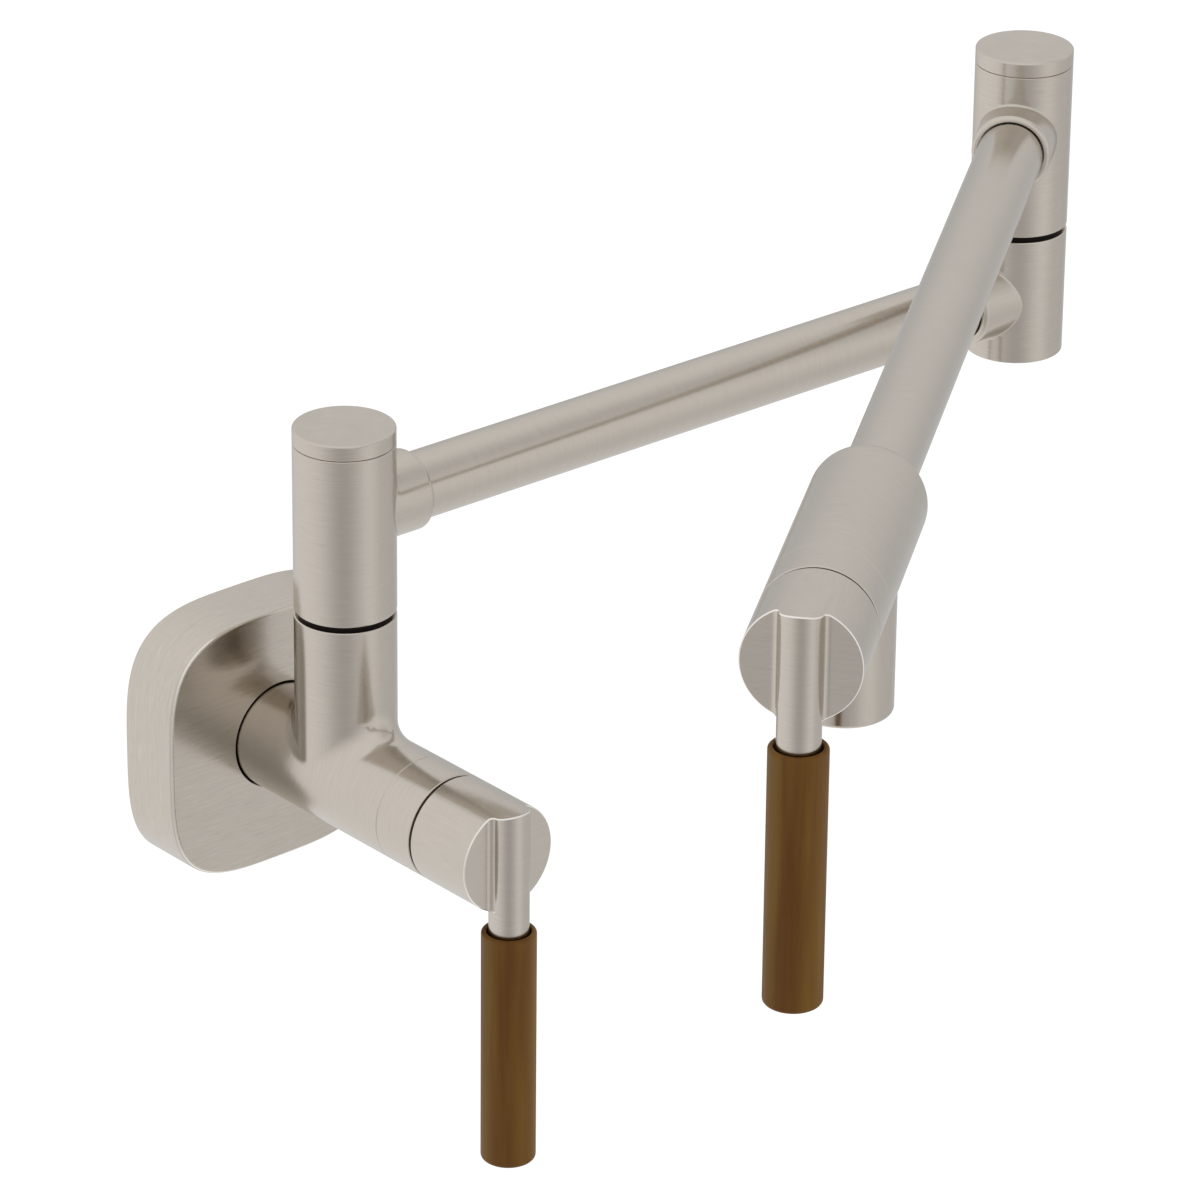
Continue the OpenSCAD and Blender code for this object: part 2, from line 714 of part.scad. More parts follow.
at_outlet_seam() grip_stud();  // outlet_grip_stud
at_outlet_seam() knob_screw();  // outlet_knob_screw
at_outlet_seam() stem();  // outlet_stem
at_outlet_seam() stem_seal();  // outlet_stem_seal
at_outlet_seam() moving_disc();  // outlet_moving_disc
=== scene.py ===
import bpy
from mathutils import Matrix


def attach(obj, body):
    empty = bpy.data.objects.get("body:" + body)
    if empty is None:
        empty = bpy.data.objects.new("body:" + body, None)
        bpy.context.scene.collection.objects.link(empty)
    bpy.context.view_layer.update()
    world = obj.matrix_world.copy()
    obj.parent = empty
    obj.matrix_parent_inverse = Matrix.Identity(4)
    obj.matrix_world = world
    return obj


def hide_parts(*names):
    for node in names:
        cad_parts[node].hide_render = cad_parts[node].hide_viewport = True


bl_info = {
    "name": "Pot filler looks",
    "version": (1, 0, 0),
    "blender": (4, 5, 0),
    "location": "3D View > Sidebar > Pot filler",
    "description": "Dresses the packed pot filler in brushed nickel and oiled wood, under studio light",
    "category": "Object",
}

from math import acos, asin, atan2, ceil, cos, hypot, pi, radians, sin, sqrt

import bpy
from bpy.props import FloatProperty, FloatVectorProperty, PointerProperty
from mathutils import Matrix, Vector

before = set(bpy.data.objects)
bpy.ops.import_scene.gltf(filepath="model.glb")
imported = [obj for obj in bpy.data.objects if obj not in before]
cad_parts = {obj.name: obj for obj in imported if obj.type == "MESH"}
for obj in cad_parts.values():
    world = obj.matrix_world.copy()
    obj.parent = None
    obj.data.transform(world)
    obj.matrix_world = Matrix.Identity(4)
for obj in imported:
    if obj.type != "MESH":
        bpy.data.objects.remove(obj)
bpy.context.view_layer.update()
MM = 0.001

# Places, in millimetres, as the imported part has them
SHOULDER_REACH = 52.4
ARM_1 = 264.2
ARM_2 = 318.8
ARM_1_HEADING = radians(-0.77)
ARM_2_HEADING = radians(-142.48)
BARREL_RISE = 51.1
BARREL_REAR = -(SHOULDER_REACH - 8)
JOINT_GAP = 1.7
ARM_AT = 32.5
CAP_SEAM = 53.7
ELBOW_TOP = 20.9
ELBOW_BOTTOM = -19.2
ARM_1_Z = BARREL_RISE + ARM_AT
ELBOW_JOINT_Z = ARM_1_Z + ELBOW_TOP
ARM_2_Z = ELBOW_JOINT_Z + ARM_AT
WALL_SEAM = 33.6
OUTLET_SEAM = 30.7
OUTLET_REAR = 39.3
SPOUT_DROP = 45.7
KNOB_BACK = 15.5
KNOB_FACE = 39.4
ROD_AT = 40.0
ROD_END = 30.8
GRIP_TOP = 22.8
GRIP_END = 97.1
FLANGE_DEPTH = 21.4

# Seats, bores and reaches inside the pieces, in millimetres
SEAM_EDGE = 0.15
SUPPLY_BORE = 9.15
SUPPLY_DEPTH = 16
WATER_WAY = 6.5
WALL_SEAT = -10
OUTLET_SEAT = -12.9
CARTRIDGE_BORE = 10.4
BONNET_THREAD = 13.48
BONNET_REACH = 8.5
BONNET_END = 14.6
SPINDLE_THREAD = 9.53
SPINDLE_DEPTH = 12
SPINDLE_BORE = 9.55
BARREL_WAY = 8
CAP_BORE = 12
CAP_SEAT = 46.3
COLLAR_END = 24
COLLAR_WAY = 7.5
TUBE_MOUTH = 10.4
TUBE_SEAT = 10.08
TUBE_START = 13.5
TUBE_END = 12
TUBE_WALL = 1.2
AERATOR_THREAD = 11.78
AERATOR_DEPTH = 12.8
STEM_SOCKET = 4.03
STEM_DEPTH = 12
STUD_HOLE = 3.03

# Camera, in degrees, metres and pixels of the frame
CAMERA_AZIMUTH = -41.143
CAMERA_ELEVATION = 25.204
CAMERA_ROLL = 0.591
CAMERA_PLACE = (-1.0853, -1.4063, 0.8716)
FOCAL_PIXELS = 6641.75
FRAME_PIXELS = 1200
SENSOR_WIDTH = 36
FLOOR_Z = -0.42

# Soft lights and dark cards round the object, as direction, sharpness and how much brighter or
# darker than the white surround the metal sees them
STUDIO_CARDS = (
    ((-0.60, -0.68, -0.43), 4, -0.45),
    ((0.38, -0.82, -0.43), 14, 0.12),
    ((0.60, -0.68, -0.43), 10, -0.22),
    ((0.60, -0.43, 0.68), 10, -0.30),
    ((0.95, 0.10, -0.35), 5, -0.30),
    ((0.70, 0.60, 0.10), 3, -0.14),
    ((0.45, 0.85, -0.20), 8, -0.30),
)


def shift(x, y, z):
    return Matrix.Translation((x * MM, y * MM, z * MM))


def facing(heading):
    """Lays local Z along a heading, with local X pointing down"""
    return Matrix.Rotation(heading, 4, "Z") @ Matrix.Rotation(pi / 2, 4, "Y")


def level(heading):
    return Matrix.Rotation(heading, 4, "Z")


AT_SHOULDER = shift(0, -SHOULDER_REACH, 0)
AT_ELBOW = AT_SHOULDER @ shift(ARM_1 * cos(ARM_1_HEADING), ARM_1 * sin(ARM_1_HEADING), 0)
AT_SPOUT = AT_ELBOW @ shift(0, 0, ARM_2_Z) @ level(ARM_2_HEADING) @ shift(ARM_2, 0, 0)
AT_WALL_SEAM = AT_SHOULDER @ facing(-pi / 2) @ shift(0, 0, WALL_SEAM)
AT_OUTLET_SEAM = AT_SPOUT @ facing(0) @ shift(0, 0, OUTLET_SEAM)
AT_JOINT = {
    "shoulder": AT_SHOULDER @ shift(0, 0, BARREL_RISE),
    "elbow": AT_ELBOW @ shift(0, 0, ELBOW_JOINT_Z),
}


class PotFillerSizes(bpy.types.PropertyGroup):
    valve_radius: FloatProperty(
        name="Valve radius", description="Radius of the valve bodies, bonnets and knobs",
        default=16.3 * MM, subtype="DISTANCE", unit="LENGTH")
    barrel_radius: FloatProperty(
        name="Barrel radius", description="Radius of the upright joint barrels",
        default=15.0 * MM, subtype="DISTANCE", unit="LENGTH")
    tube_radius: FloatProperty(
        name="Tube radius", description="Radius of the arm tubes",
        default=10.05 * MM, subtype="DISTANCE", unit="LENGTH")
    collar_radius: FloatProperty(
        name="Collar radius", description="Radius of the collars that hold the tubes",
        default=12.15 * MM, subtype="DISTANCE", unit="LENGTH")
    spout_radius: FloatProperty(
        name="Spout radius", description="Radius of the upright spout",
        default=13.65 * MM, subtype="DISTANCE", unit="LENGTH")
    rod_radius: FloatProperty(
        name="Rod radius", description="Radius of the lever rods",
        default=5.92 * MM, subtype="DISTANCE", unit="LENGTH")
    grip_radius: FloatProperty(
        name="Grip radius", description="Radius of the wooden grips",
        default=8.05 * MM, subtype="DISTANCE", unit="LENGTH")
    flange_half: FloatProperty(
        name="Flange half width", description="Half the width of the wall flange",
        default=40.7 * MM, subtype="DISTANCE", unit="LENGTH")
    body_blend: FloatProperty(
        name="Body blend", description="Radius of the blend between the barrel and the body",
        default=8.0 * MM, subtype="DISTANCE", unit="LENGTH")
    collar_blend: FloatProperty(
        name="Collar blend", description="Radius of the blend between a collar and its barrel",
        default=0.8 * MM, subtype="DISTANCE", unit="LENGTH")
    rod_blend: FloatProperty(
        name="Rod blend", description="Radius of the hollow beside the rod on a knob's face",
        default=1.9 * MM, subtype="DISTANCE", unit="LENGTH")
    knob_edge: FloatProperty(
        name="Knob edge", description="Rounding of the knobs' rims",
        default=0.4 * MM, subtype="DISTANCE", unit="LENGTH")
    edge: FloatProperty(
        name="Edge rounding", description="Rounding of the turned edges",
        default=0.35 * MM, subtype="DISTANCE", unit="LENGTH")


class PotFillerFinish(bpy.types.PropertyGroup):
    nickel: FloatVectorProperty(
        name="Nickel", description="Colour of the brushed nickel", subtype="COLOR",
        size=3, min=0.0, max=1.0, default=(0.56, 0.514, 0.457))
    nickel_roughness: FloatProperty(
        name="Nickel roughness", description="How widely the brushed nickel blurs reflections",
        default=0.2, min=0.05, max=0.8, subtype="FACTOR")
    marks: FloatProperty(
        name="Brush marks", description="Strength of the fine brush marks",
        default=1.0, min=0.0, max=2.0, subtype="FACTOR")
    # Painted highlight: how brightly the rims of flange and knobs are drawn, standing in for the light
    # they catch
    rim_highlight: FloatProperty(
        name="Worn rims", description="How brightly use has polished the rims of flange and knobs",
        default=0.7, min=0.0, max=1.0, subtype="FACTOR")
    wood_light: FloatVectorProperty(
        name="Light wood", description="Colour of the wood between its grain lines",
        subtype="COLOR", size=3, min=0.0, max=1.0, default=(0.172, 0.086, 0.009))
    wood_dark: FloatVectorProperty(
        name="Dark wood", description="Colour of the wood's grain lines", subtype="COLOR",
        size=3, min=0.0, max=1.0, default=(0.107, 0.038, 0.003))


def sizes():
    """The sizes in millimetres"""
    group = bpy.context.scene.pot_filler_sizes
    return {name: getattr(group, name) / MM for name in PotFillerSizes.__annotations__}


# Meshes

def deselect():
    if bpy.context.mode != "OBJECT":
        bpy.ops.object.mode_set(mode="OBJECT")
    bpy.ops.object.select_all(action="DESELECT")


def activate(obj):
    deselect()
    obj.select_set(True)
    bpy.context.view_layer.objects.active = obj


def arc(c, r, a0, a1, steps=5):
    """Points of an arc in degrees, about c, as (radius, height)"""
    turns = [radians(a0 + (a1 - a0) * i / steps) for i in range(steps + 1)]
    return [(c[0] + r * cos(a), c[1] + r * sin(a)) for a in turns]


def over(r, z, rounding, steps=4):
    """The rounded edge where a side at radius r meets a top at height z"""
    return arc((r - rounding, z - rounding), rounding, 0, 90, steps)


def under(r, z, rounding, steps=4):
    """The rounded edge where a side at radius r meets an underside at height z"""
    return arc((r - rounding, z + rounding), rounding, 0, -90, steps)


def supported(outline):
    """The outline with a point just beside each end of a long run, to keep its shading flat"""
    points = [outline[0]]
    for a, b in zip(outline, outline[1:]):
        run = hypot(b[0] - a[0], b[1] - a[1])
        if run > 0.8:
            near = 0.15 / run
            points += [(a[0] + (b[0] - a[0]) * s, a[1] + (b[1] - a[1]) * s) for s in (near, 1 - near)]
        points.append(b)
    return points


def settle(obj, place, angle=32):
    """Puts the piece in place through its mesh, merges it and shades it smooth by angle"""
    obj.data.transform(place)
    activate(obj)
    bpy.ops.object.mode_set(mode="EDIT")
    bpy.ops.mesh.select_all(action="SELECT")
    bpy.ops.mesh.remove_doubles(threshold=2e-6)
    bpy.ops.mesh.normals_make_consistent(inside=False)
    bpy.ops.object.mode_set(mode="OBJECT")
    bpy.ops.object.shade_smooth_by_angle(angle=radians(angle))
    return obj


def turned(name, outline, place, closed=False, sides=160):
    """A lathe-turned piece: a circle drawn out ring by ring along its outline of (radius, height)"""
    points = supported(outline + outline[:1] if closed else outline)
    deselect()
    r, z = points[0]
    bpy.ops.mesh.primitive_circle_add(
        vertices=sides, radius=r * MM, fill_type="NOTHING" if closed else "NGON",
        location=(0, 0, 0))
    obj = bpy.context.object
    obj.name = obj.data.name = name
    bpy.ops.object.mode_set(mode="EDIT")
    bpy.ops.mesh.select_all(action="SELECT")
    bpy.ops.transform.translate(value=(0, 0, z * MM))
    for r1, z1 in points[1:]:
        bpy.ops.mesh.extrude_edges_move(
            TRANSFORM_OT_translate={"value": (0, 0, (z1 - z) * MM)})
        bpy.ops.transform.resize(value=(r1 / r, r1 / r, 1), center_override=(0, 0, z1 * MM))
        r, z = r1, z1
    if not closed:
        bpy.ops.mesh.edge_face_add()
    bpy.ops.object.mode_set(mode="OBJECT")
    return settle(obj, place)


def mesh_object(name, points, faces):
    mesh = bpy.data.meshes.new(name)
    mesh.from_pydata([Vector(p) * MM for p in points], [], faces)
    mesh.validate()
    obj = bpy.data.objects.new(name, mesh)
    bpy.context.scene.collection.objects.link(obj)
    return obj


def paint_highlight(obj, points):
    """Marks the points that get a painted highlight, drawn brighter to stand in for the light they
    catch
    """
    mark = obj.data.attributes.new("painted_highlight", "FLOAT", "POINT")
    for i in points:
        mark.data[i].value = 1


def ring_faces(a, b):
    """The faces between two rings of point numbers"""
    n = len(a)
    return [(a[i], a[(i + 1) % n], b[(i + 1) % n], b[i]) for i in range(n)]


def blend_section(body_r, branch_r, blend_r, t, s):
    """A point of the ball-rolled blend at turn t, from the body (s = 0) to the branch (s = 1)"""
    cy = (branch_r + blend_r) * sin(t)
    ca = (branch_r + blend_r) * cos(t)
    cx = sqrt((body_r + blend_r) ** 2 - cy ** 2)
    u = Vector((-cx, -cy, 0)) / (body_r + blend_r)
    v = Vector((0, -sin(t), -cos(t)))
    w = acos(max(-1, min(1, u.dot(v))))
    arm = (u * sin((1 - s) * w) + v * sin(s * w)) / sin(w)
    return Vector((cx, cy, ca)) + arm * blend_r


def branched(name, place, body_r, branch_r, blend_r, centre, reach, low, high, out, through,
             sides=128, rows=16, rings=7, steps=8):
    """A round body along Z with a round branch along X, blended as by a rolling ball.
    The branch's axis is at centre, and the patch round it reaches so far to each side.
    low and high carry the body on past the patch, and out carries the branch on, each as
    (radius, height) rings. A through bore joins the last ring of low to the last of high;
    otherwise both are closed."""
    points = []

    def add(x, y, z):
        points.append((x, y, z))
        return len(points) - 1

    step = 2 * pi / sides
    widest = asin((branch_r + blend_r) / (body_r + blend_r))
    margin = 5
    half = min(sides // 2 - 2, ceil(widest / step) + margin)
    height = [centre - reach + 2 * reach * i / rows for i in range(rows + 1)]

    def on_body(turn, z):
        return add(body_r * cos(turn), body_r * sin(turn), z)

    grid = {}
    for i, z in enumerate(height):
        for j in range(sides):
            inside = j < half or j > sides - half
            if i in (0, rows) or not inside:
                grid[i, j] = on_body(j * step, z)
    faces = []
    for i in range(rows):
        for j in range(half, sides - half):
            faces.append((grid[i, j], grid[i, j + 1], grid[i + 1, j + 1], grid[i + 1, j]))

    edge = [(rows, j) for j in range(0, half)] + [(i, half) for i in range(rows, 0, -1)]
    edge += [(0, j) for j in range(half, -half, -1)] + [(i, -half) for i in range(0, rows)]
    edge += [(rows, j) for j in range(-half, 0)]
    turn_of = [atan2(j / half, (height[i] - centre) / reach) for i, j in edge]
    outer = [grid[i, j % sides] for i, j in edge]
    holes = [blend_section(body_r, branch_r, blend_r, t, 0) for t in turn_of]
    last = outer
    for k in range(1, rings + 1):
        s = (k / rings) ** 0.8
        ring = []
        for (i, j), h in zip(edge, holes):
            turn = (1 - s) * j * step + s * atan2(h.y, h.x)
            z = (1 - s) * height[i] + s * (h.z + centre)
            ring.append(on_body(turn, z))
        faces += ring_faces(last, ring)
        last = ring
    for k in range(1, steps + 1):
        ring = []
        for t in turn_of:
            p = blend_section(body_r, branch_r, blend_r, t, k / steps)
            ring.append(add(p.x, p.y, p.z + centre))
        faces += ring_faces(last, ring)
        last = ring
    ends = [blend_section(body_r, branch_r, blend_r, t, 1).x for t in turn_of]
    start = out[0][1]
    lead = 4
    for k in range(1, lead):
        s = k / lead
        ring = [add((1 - s) * x + s * start, branch_r * sin(t), branch_r * cos(t) + centre)
                for x, t in zip(ends, turn_of)]
        faces += ring_faces(last, ring)
        last = ring
    for r, x in supported(out):
        ring = [add(x, r * sin(t), r * cos(t) + centre) for t in turn_of]
        faces += ring_faces(last, ring)
        last = ring
    faces.append(tuple(last))

    tails = []
    for row, run in ((0, low), (rows, high)):
        last = [grid[row, j] for j in range(sides)]
        for r, z in supported([(body_r, height[row])] + run)[1:]:
            ring = [add(r * cos(j * step), r * sin(j * step), z) for j in range(sides)]
            faces += ring_faces(last, ring)
            last = ring
        tails.append(last)
    if not through:
        faces += [tuple(tail) for tail in tails]
    return settle(mesh_object(name, points, faces), place)


def squircle(half, power, sides):
    """A square with bowed sides and round corners"""
    ring = []
    for i in range(sides):
        a = 2 * pi * i / sides
        r = half / (abs(cos(a)) ** power + abs(sin(a)) ** power) ** (1 / power)
        ring.append((r * cos(a), r * sin(a)))
    return ring


def cut(obj, tool):
    """Cuts obj with the tool and removes the tool"""
    activate(obj)
    cutter = obj.modifiers.new("Cut", "BOOLEAN")
    cutter.operation = "DIFFERENCE"
    cutter.solver = "EXACT"
    cutter.object = tool
    bpy.ops.object.modifier_apply(modifier=cutter.name)
    bpy.data.objects.remove(tool, do_unlink=True)


def drill(radius, depth, place):
    """A cylinder from 0 to depth along local Z"""
    deselect()
    bpy.ops.mesh.primitive_cylinder_add(vertices=48, radius=radius * MM, depth=depth * MM)
    tool = bpy.context.object
    tool.data.transform(place @ shift(0, 0, depth / 2))
    return tool


def finish_piece(obj, material, body, node):
    """Gives the piece its material and puts it on its body in place of the CAD node"""
    obj.data.materials.clear()
    obj.data.materials.append(material)
    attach(obj, body)
    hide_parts(node)


# Materials

class Wire:
    """A node's output that adds its Math nodes when it is used in an expression"""

    def __init__(self, tree, socket):
        self.tree = tree
        self.socket = socket

    def math(self, operation, a, b=None, clamp=False):
        node = self.tree.nodes.new("ShaderNodeMath")
        node.operation = operation
        node.use_clamp = clamp
        for slot, value in zip(node.inputs, (a, b)):
            if isinstance(value, Wire):
                self.tree.links.new(value.socket, slot)
            elif value is not None:
                slot.default_value = value
        return Wire(self.tree, node.outputs[0])

    def __add__(self, other):
        return self.math("ADD", self, other)

    __radd__ = __add__

    def __mul__(self, other):
        return self.math("MULTIPLY", self, other)

    __rmul__ = __mul__

    def __sub__(self, other):
        return self.math("SUBTRACT", self, other)

    def __rsub__(self, other):
        return self.math("SUBTRACT", other, self)

    def __truediv__(self, other):
        return self.math("DIVIDE", self, other)

    def exp(self):
        return self.math("EXPONENT", self)

    def clamped(self):
        return self.math("ADD", self, 0.0, clamp=True)

    def above(self, low, high):
        """0 below low and 1 above high, with a smooth step between"""
        s = ((self - low) / (high - low)).clamped()
        return s * s * (3 - 2 * s)


class Shade:
    """A node tree with one method for every node but Math"""

    def __init__(self, tree):
        self.tree = tree
        tree.nodes.clear()

    def node(self, kind, settings=None, output=0, **inputs):
        """A node of the kind. An input goes by its name, with _ for a space, or its number after _"""
        node = self.tree.nodes.new(kind)
        for name, value in (settings or {}).items():
            setattr(node, name, value)
        for name, value in inputs.items():
            number = name[1:]
            slot = node.inputs[int(number) if number.isdigit() else name.replace("_", " ")]
            if isinstance(value, Wire):
                self.tree.links.new(value.socket, slot)
            else:
                slot.default_value = value
        return Wire(self.tree, node.outputs[output]) if node.outputs else node

    def place(self):
        return self.node("ShaderNodeTexCoord", output="Object")

    def mapped(self, turn=(0, 0, 0), often=(1, 1, 1), location=(0, 0, 0)):
        """Object coordinates in a turned frame, repeating so often per metre along its axes"""
        return self.node("ShaderNodeMapping", {"vector_type": "TEXTURE"}, Vector=self.place(),
                         Location=location, Rotation=turn, Scale=tuple(1 / k for k in often))

    def noise(self, vector, scale, detail=2.0, roughness=0.5, distortion=0.0):
        return self.node("ShaderNodeTexNoise", Vector=vector, Scale=scale, Detail=detail,
                         Roughness=roughness, Distortion=distortion)

    def mix(self, factor, a, b):
        return self.node("ShaderNodeMix", {"data_type": "RGBA"}, output=2, _0=factor, _6=a, _7=b)

    def dot(self, a, b):
        return self.node("ShaderNodeVectorMath", {"operation": "DOT_PRODUCT"}, output="Value",
                         _0=a, _1=b)

    def surface(self, shader, kind="ShaderNodeOutputMaterial"):
        self.node(kind, Surface=shader)


def rgba(colour, k=1.0):
    return (colour[0] * k, colour[1] * k, colour[2] * k, 1)


def new_material(name):
    material = bpy.data.materials.new(name)
    material.use_nodes = True
    return material, Shade(material.node_tree)


def nickel(name, turn=(0, 0, 0), second=None, split=None, axis="Z", marked=0.6):
    """Brushed nickel with marks that run round local Z, or as second turns them past split"""
    known = bpy.data.materials.get(name)
    if known:
        return known
    finish = bpy.context.scene.pot_filler_finish
    material, shade = new_material(name)

    def marks(rotation):
        fine = shade.noise(shade.mapped(rotation, (75, 75, 2400)), 1.0, 3.0, 0.6)
        short = shade.noise(shade.mapped(rotation, (190, 190, 1500), (0.031, 0.017, 0.004)), 1.0)
        scratch = short.above(0.6, 0.72) - (1.0 - short).above(0.62, 0.74)
        return (fine - 0.5) * 2.2 + (short - 0.5) * 0.9 + scratch * 0.5

    field = marks(turn)
    if second is not None:
        along = shade.node("ShaderNodeSeparateXYZ", output=axis, Vector=shade.place())
        past = along.above(*split)
        field = field * (1 - past) + marks(second) * past
    cloud = shade.noise(shade.place(), 30.0, 3.0) - 0.5
    strength = finish.marks * marked
    tone = (0.5 + field * (0.3 * strength) + cloud * 0.15).clamped()
    colour = shade.mix(tone, rgba(finish.nickel, 0.86), rgba(finish.nickel, 1.14))
    # Painted highlight: the marked rim points are drawn near white, standing in for the light the rims
    # catch
    painted_highlight = shade.node("ShaderNodeAttribute", {"attribute_name": "painted_highlight"}, output="Fac")
    colour = shade.mix(painted_highlight * finish.rim_highlight, colour, (0.98, 0.95, 0.9, 1))
    roughness = (finish.nickel_roughness + field * (0.03 * strength) + cloud * 0.05).clamped()
    bump = shade.node("ShaderNodeBump", Strength=0.3, Distance=0.00002 * strength, Height=field)
    shade.surface(shade.node("ShaderNodeBsdfPrincipled", Base_Color=colour, Metallic=1.0,
                             Roughness=roughness, Normal=bump))
    return material


def wood():
    known = bpy.data.materials.get("oiled_wood")
    if known:
        return known
    finish = bpy.context.scene.pot_filler_finish
    material, shade = new_material("oiled_wood")
    wander = shade.noise(shade.mapped(often=(130, 130, 12), location=(-0.556, -0.314, -0.054)), 1.0)
    grain = shade.noise(shade.mapped(often=(420, 420, 16)), 1.0, 5.0, 0.62, 0.6)
    pores = shade.noise(shade.mapped(often=(2200, 2200, 90)), 1.0)
    pore = pores.above(0.60, 0.74)
    figure = (grain.above(0.35, 0.68) * 0.2 + wander.above(0.24, 0.7) * 0.8).clamped()
    colour = shade.mix(figure, rgba(finish.wood_light), rgba(finish.wood_dark))
    colour = shade.mix(pore * 0.15, colour, rgba(finish.wood_dark, 0.5))
    bump = shade.node("ShaderNodeBump", Strength=0.25, Distance=0.00008, Height=grain - pore * 0.6)
    shade.surface(shade.node("ShaderNodeBsdfPrincipled", Base_Color=colour,
                             Roughness=(0.5 + (grain - 0.5) * 0.3).clamped(),
                             Specular_IOR_Level=0.18, Normal=bump))
    return material


def plain(name, colour, roughness, metallic=0.0, gloss=0.5):
    """A plain finish with a fine grain: rubber, brass, steel, ceramic or acetal"""
    known = bpy.data.materials.get(name)
    if known:
        return known
    material, shade = new_material(name)
    grit = shade.noise(shade.place(), 900.0, 3.0, 0.6)
    cloud = shade.noise(shade.place(), 60.0)
    tone = (grit * 0.5 + cloud * 0.5).clamped()
    bump = shade.node("ShaderNodeBump", Strength=0.12, Distance=0.00003, Height=grit)
    shade.surface(shade.node(
        "ShaderNodeBsdfPrincipled", Base_Color=shade.mix(tone, rgba(colour, 0.85), rgba(colour, 1.15)),
        Metallic=metallic, Roughness=(roughness + (tone - 0.5) * 0.15).clamped(),
        Specular_IOR_Level=gloss, Normal=bump))
    return material


def upright_nickel():
    return nickel("nickel_upright")


def wall_nickel():
    return nickel("nickel_wall_valve", (0, pi / 2, -pi / 2))


def arm_nickel(number):
    heading = (ARM_1_HEADING, ARM_2_HEADING)[number - 1]
    return nickel(f"nickel_arm_{number}", (0, pi / 2, heading))


# Pieces

class PieceOperator:
    bl_options = {"REGISTER", "UNDO"}


class POTFILLER_OT_flange(PieceOperator, bpy.types.Operator):
    """Build the square wall flange with its sleeve"""
    bl_idname = "potfiller.flange"
    bl_label = "Wall flange"

    def execute(self, context):
        s = sizes()
        half = s["flange_half"]
        depth = FLANGE_DEPTH
        sides = 256
        power = 3.5
        hole = s["valve_radius"] + 0.4
        sleeve = hole + 4.6
        rounding = 1.2
        wall = 2.5
        groove = 1.2
        screw_z = depth - 7.5
        circle = [(cos(2 * pi * i / sides), sin(2 * pi * i / sides)) for i in range(sides)]
        points = []
        rings = []

        def add(outline, z):
            start = len(points)
            points.extend((x, y, z) for x, y in outline)
            rings.append(list(range(start, start + sides)))

        def square(inset, z):
            add(squircle(half - inset, power, sides), z)

        def round_ring(r, z):
            add([(r * x, r * y) for x, y in circle], z)

        def across(inset, r, z, shares):
            """Rings from the square, at a share of 0, to a circle, at a share of 1"""
            for k in shares:
                add([((1 - k) * x + k * r * u, (1 - k) * y + k * r * v)
                     for (x, y), (u, v) in zip(squircle(half - inset, power, sides), circle)], z)

        square(0.2, 0)
        for z in (0.2, 0.4, 8, depth - rounding - 0.3):
            square(0, z)
        for run, z in arc((0, depth - rounding), rounding, 0, 90, 8):
            square(rounding - run, z)
        # The middle rings of the front edge's rounding get a painted highlight
        rim = [i for ring in rings[-5:-3] for i in ring]
        across(rounding, hole + 0.4, depth, (0.01, 0.2, 0.5, 0.8, 1))
        round_ring(hole + 0.2, depth)
        for r, z in ((hole, depth - 0.2), (hole, depth - 2.4), (hole + groove, depth - 2.4),
                     (hole + groove, depth - 4.6), (hole, depth - 4.6), (hole, depth - 12),
                     (sleeve, depth - 12), (sleeve, depth - wall)):
            round_ring(r, z)
        across(wall, sleeve, depth - wall, (0.97, 0.5, 0.03, 0))
        square(wall, 0)
        faces = []
        for a, b in zip(rings, rings[1:] + rings[:1]):
            faces += ring_faces(a, b)
        obj = mesh_object("flange", points, faces)
        paint_highlight(obj, rim)
        settle(obj, Matrix.Identity(4))
        down = Matrix.Rotation(pi / 2, 4, "X")
        cut(obj, drill(2.5, 12, shift(0, -32, screw_z) @ down))
        cut(obj, drill(2.03, 8, shift(0, -15, screw_z) @ down))
        settle(obj, down)
        face = nickel("nickel_flange", (0, 0, 0), (pi / 2, 0, 0),
                      (-(FLANGE_DEPTH - 0.1) * MM, -(FLANGE_DEPTH - 0.8) * MM), "Y", 1.0)
        finish_piece(obj, face, "wall_body", "wall_flange")
        return {"FINISHED"}


def valve_mouth(r, seam, seat):
    """The end of a valve body: its seam, the bonnet's thread, the cartridge's bore and its seat"""
    shoulder = seam - BONNET_REACH
    return [(r, seam - SEAM_EDGE), (r - SEAM_EDGE, seam), (BONNET_THREAD, seam),
            (BONNET_THREAD, shoulder), (CARTRIDGE_BORE, shoulder), (CARTRIDGE_BORE, seat),
            (WATER_WAY, seat)]


def spindle_socket(top, bottom):
    """The socket that a joint's spindle screws into, and the water way under it"""
    floor = top - SPINDLE_DEPTH
    return [(SPINDLE_THREAD, top), (SPINDLE_THREAD, floor), (BARREL_WAY, floor), (BARREL_WAY, bottom)]


class POTFILLER_OT_body(PieceOperator, bpy.types.Operator):
    """Build the wall valve body with its upright barrel"""
    bl_idname = "potfiller.body"
    bl_label = "Wall valve body"

    def execute(self, context):
        s = sizes()
        r, b, e = s["valve_radius"], s["barrel_radius"], s["edge"]
        rear = BARREL_REAR
        supply_end = rear + SUPPLY_DEPTH
        obj = branched(
            "wall_valve_body", AT_SHOULDER @ facing(-pi / 2) @ level(pi), r, b, s["body_blend"],
            centre=0, reach=27,
            low=[(r, rear + 0.3), (r - 0.3, rear), (SUPPLY_BORE, rear), (SUPPLY_BORE, supply_end),
                 (WATER_WAY, supply_end), (WATER_WAY, WALL_SEAT)],
            high=valve_mouth(r, WALL_SEAM, WALL_SEAT),
            out=[(b, 28)] + over(b, BARREL_RISE, e) + spindle_socket(BARREL_RISE, 18),
            through=True, sides=256, rows=48, rings=10, steps=24)
        finish_piece(obj, nickel("nickel_body", (0, pi / 2, -pi / 2), (0, 0, 0), (0.012, 0.022)),
                     "wall_body", "body_tee")
        return {"FINISHED"}


